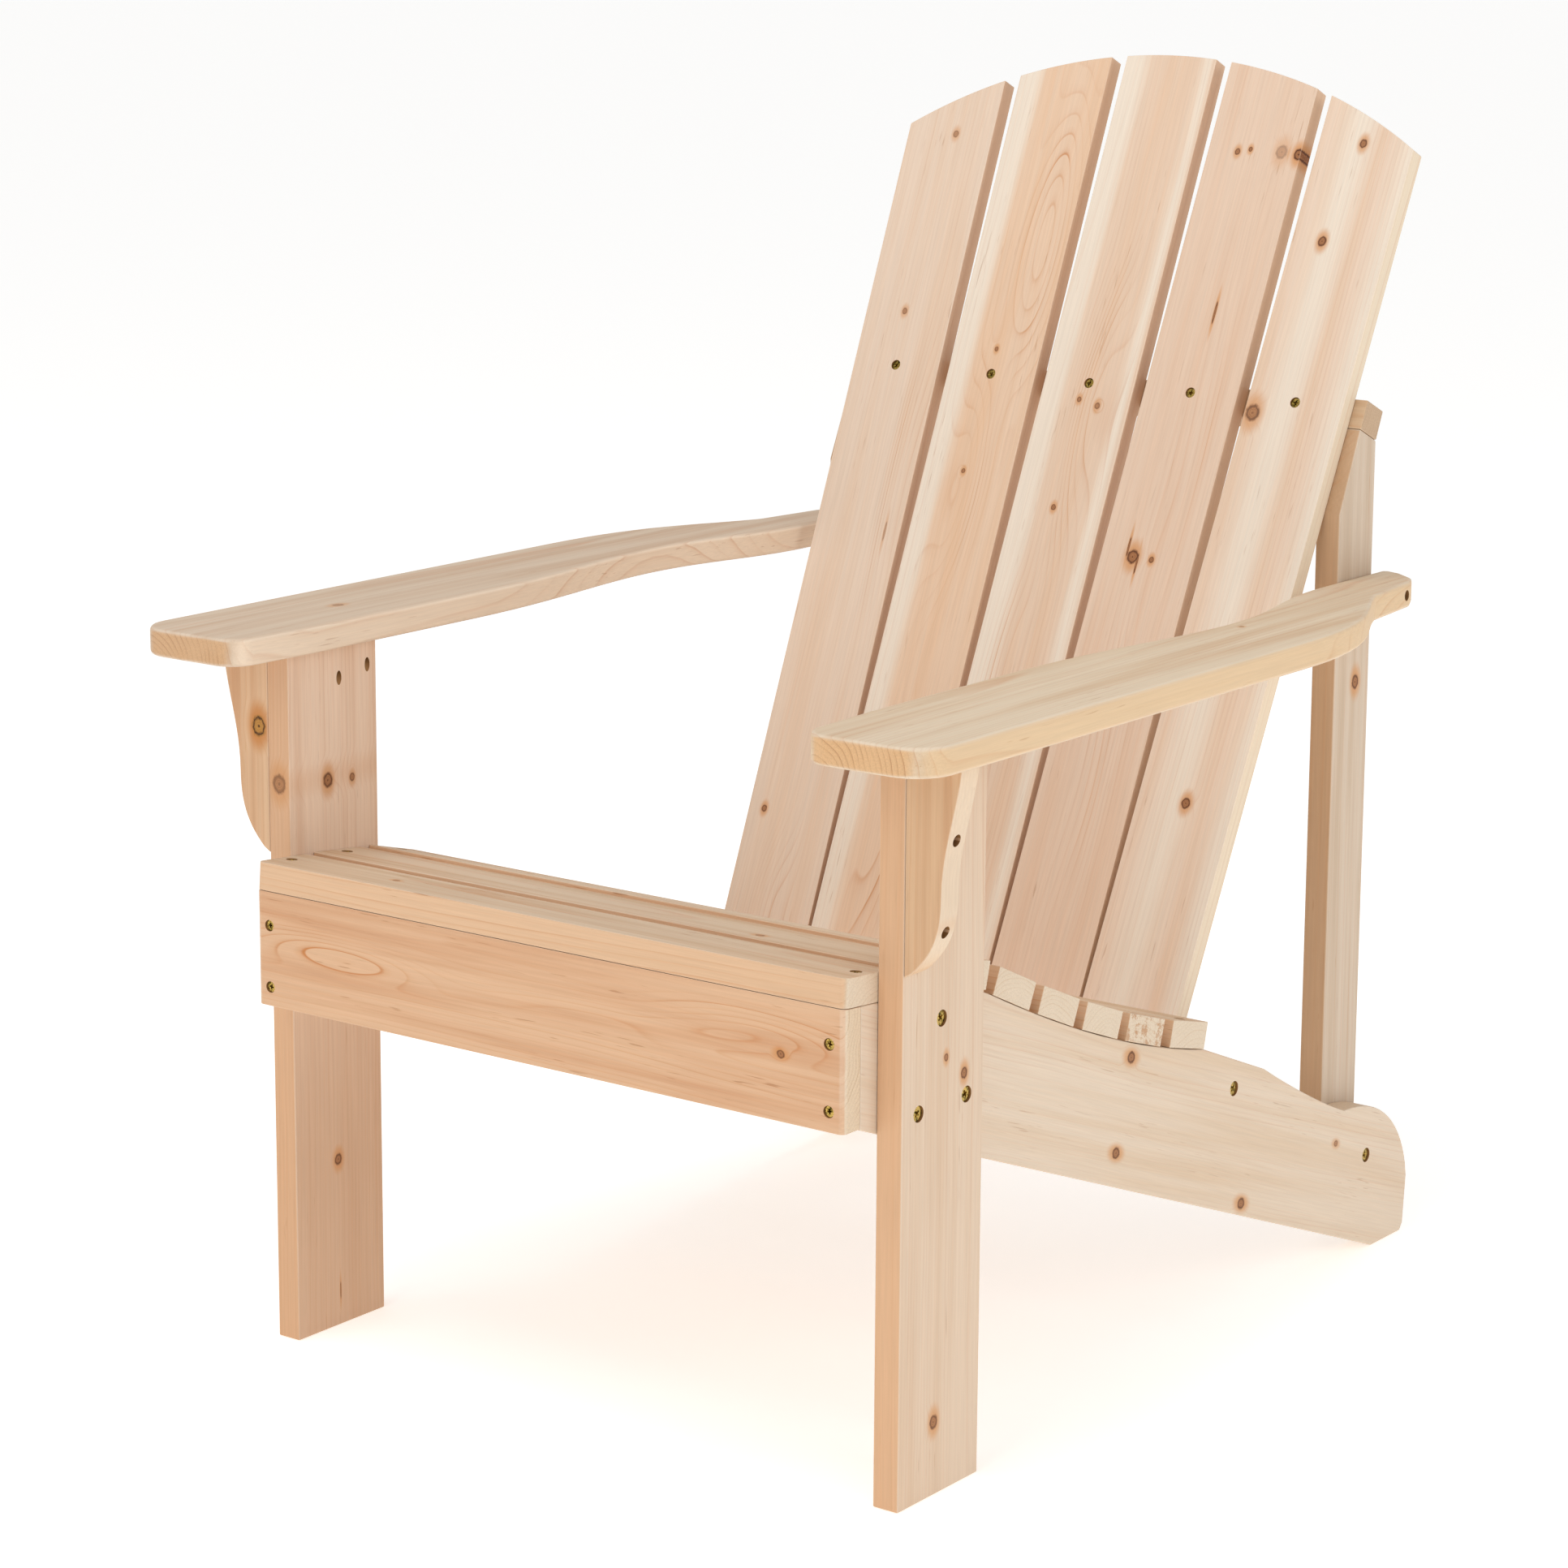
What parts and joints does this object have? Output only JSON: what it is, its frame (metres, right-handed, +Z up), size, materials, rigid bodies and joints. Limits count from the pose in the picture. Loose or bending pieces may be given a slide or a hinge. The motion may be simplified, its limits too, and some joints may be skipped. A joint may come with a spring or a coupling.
{
  "type": "adirondack chair",
  "caption": "Low slatted garden chair with a fanned, reclined back, broad flat arms and sloping stringers, in unfinished softwood boards fixed with countersunk screws.",
  "frame": {"origin": "on the floor, in the middle of the bounding box's footprint", "axes": "+Z up, -Y towards the front where the sitter faces, +X towards the sitter's left"},
  "size_m": [0.714, 0.8735, 0.9532],
  "materials": {
    "cedar_pale": "unfinished, planed, cream sapwood",
    "cedar_heart": "unfinished, planed, pink-brown heartwood",
    "cedar_planed": "unfinished, planed, greyer",
    "yellow_zinc": "steel screws with yellow zinc plating"
  },
  "bodies": {
    "root": {"apron_screw_left_1": "yellow_zinc", "apron_screw_left_2": "yellow_zinc", "apron_screw_right_1": "yellow_zinc", "apron_screw_right_2": "yellow_zinc", "arm_bracket_left": "cedar_heart", "arm_bracket_right": "cedar_heart", "arm_left": "cedar_planed", "arm_right": "cedar_planed", "arm_screw_left": "yellow_zinc", "arm_screw_right": "yellow_zinc", "back_screw_lower_1": "yellow_zinc", "back_screw_lower_2": "yellow_zinc", "back_screw_lower_3": "yellow_zinc", "back_screw_lower_4": "yellow_zinc", "back_screw_lower_5": "yellow_zinc", "back_screw_upper_1": "yellow_zinc", "back_screw_upper_2": "yellow_zinc", "back_screw_upper_3": "yellow_zinc", "back_screw_upper_4": "yellow_zinc", "back_screw_upper_5": "yellow_zinc", "back_slat_1": "cedar_heart", "back_slat_2": "cedar_heart", "back_slat_3": "cedar_pale", "back_slat_4": "cedar_heart", "back_slat_5": "cedar_pale", "bracket_screw_left_1": "yellow_zinc", "bracket_screw_left_2": "yellow_zinc", "bracket_screw_right_1": "yellow_zinc", "bracket_screw_right_2": "yellow_zinc", "front_apron": "cedar_heart", "front_leg_left": "cedar_heart", "front_leg_right": "cedar_heart", "leg_screw_left_1": "yellow_zinc", "leg_screw_left_2": "yellow_zinc", "leg_screw_left_3": "yellow_zinc", "leg_screw_right_1": "yellow_zinc", "leg_screw_right_2": "yellow_zinc", "leg_screw_right_3": "yellow_zinc", "lower_back_rail": "cedar_planed", "post_screw_left": "yellow_zinc", "post_screw_right": "yellow_zinc", "rail_screw_left": "yellow_zinc", "rail_screw_right": "yellow_zinc", "rear_post_left": "cedar_planed", "rear_post_right": "cedar_planed", "seat_slat_1": "cedar_pale", "seat_slat_2": "cedar_pale", "seat_slat_3": "cedar_pale", "seat_slat_4": "cedar_pale", "seat_slat_5": "cedar_pale", "seat_slat_6": "cedar_pale", "seat_slat_7": "cedar_pale", "seat_slat_8": "cedar_pale", "stringer_left": "cedar_pale", "stringer_right": "cedar_pale", "toe_screw_left_1": "yellow_zinc", "toe_screw_left_2": "yellow_zinc", "toe_screw_right_1": "yellow_zinc", "toe_screw_right_2": "yellow_zinc", "upper_back_rail": "cedar_planed"}
  },
  "joints": []
}
